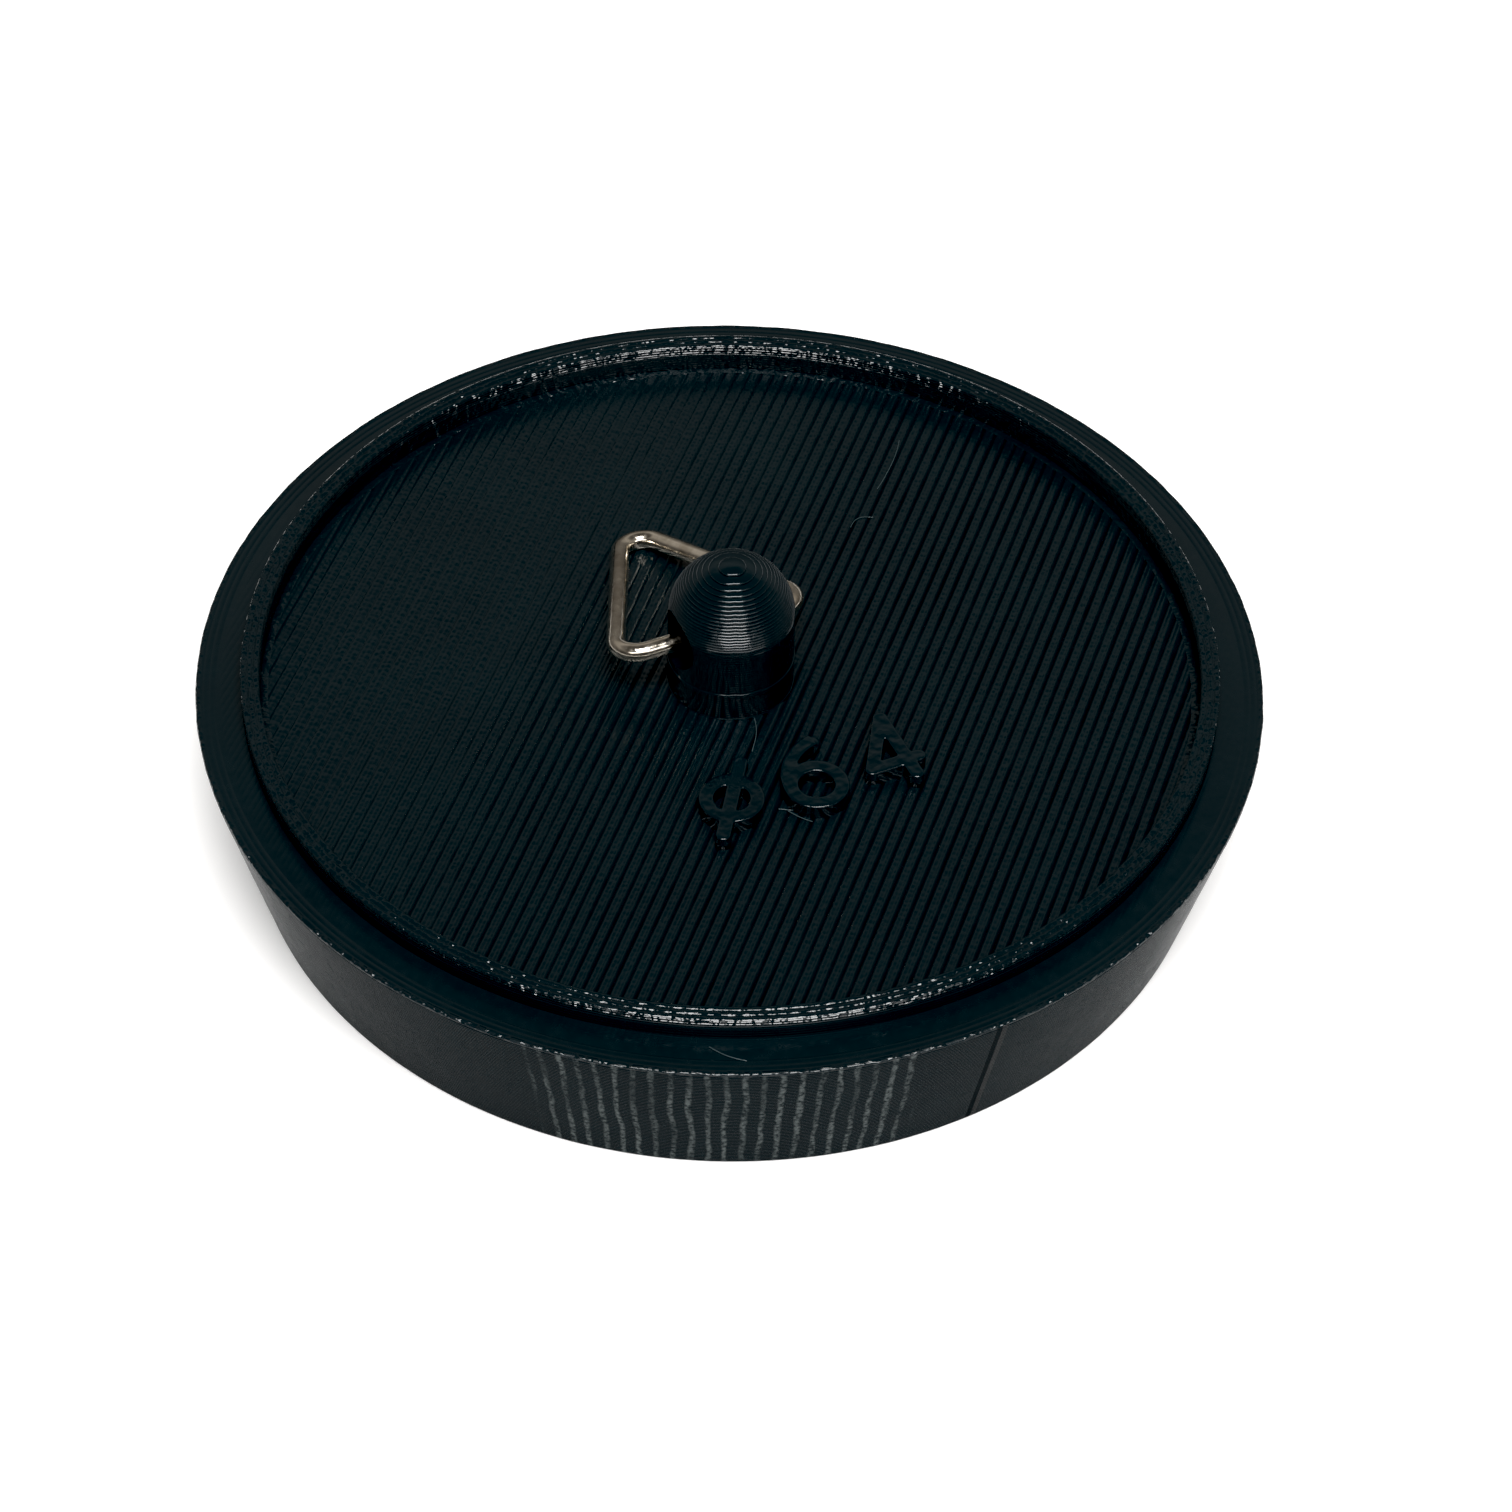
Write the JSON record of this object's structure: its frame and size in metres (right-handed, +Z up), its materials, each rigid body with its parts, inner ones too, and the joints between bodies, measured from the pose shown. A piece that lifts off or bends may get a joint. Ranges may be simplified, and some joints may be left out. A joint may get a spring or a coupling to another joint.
{
  "type": "sink plug",
  "caption": "Round tapered sink and drain plug with a rim ridge, a domed pull knob, a raised size mark and a triangular wire pull ring.",
  "frame": {"origin": "middle of the flat underside", "axes": "+Z up out of the drain through the knob, +X along the knob's cross hole, -Y from the knob towards the size mark"},
  "size_m": [0.069, 0.069, 0.0209],
  "materials": {
    "disc_plastic": "semi-gloss printed plastic with fine tool-path lines",
    "ridge_plastic": "semi-gloss printed plastic, upright layered walls",
    "knob_plastic": "glossy printed plastic with horizontal layer lines",
    "mark_plastic": "glossy printed plastic, rounded strokes",
    "ring_wire": "bright drawn wire with warm nickel tone"
  },
  "bodies": {
    "plug": {"plug_disc": "disc_plastic", "rim_ridge": "ridge_plastic", "pull_knob": "knob_plastic", "size_mark": "mark_plastic"},
    "ring": {"pull_ring": "ring_wire"}
  },
  "joints": [
    {"name": "ring_swing", "type": "hinge", "parent": "plug", "child": "ring", "pos_m": [0, 0.00075, 0.0149], "axis": [1, 0, 0], "range_deg": [0, 202]}
  ]
}
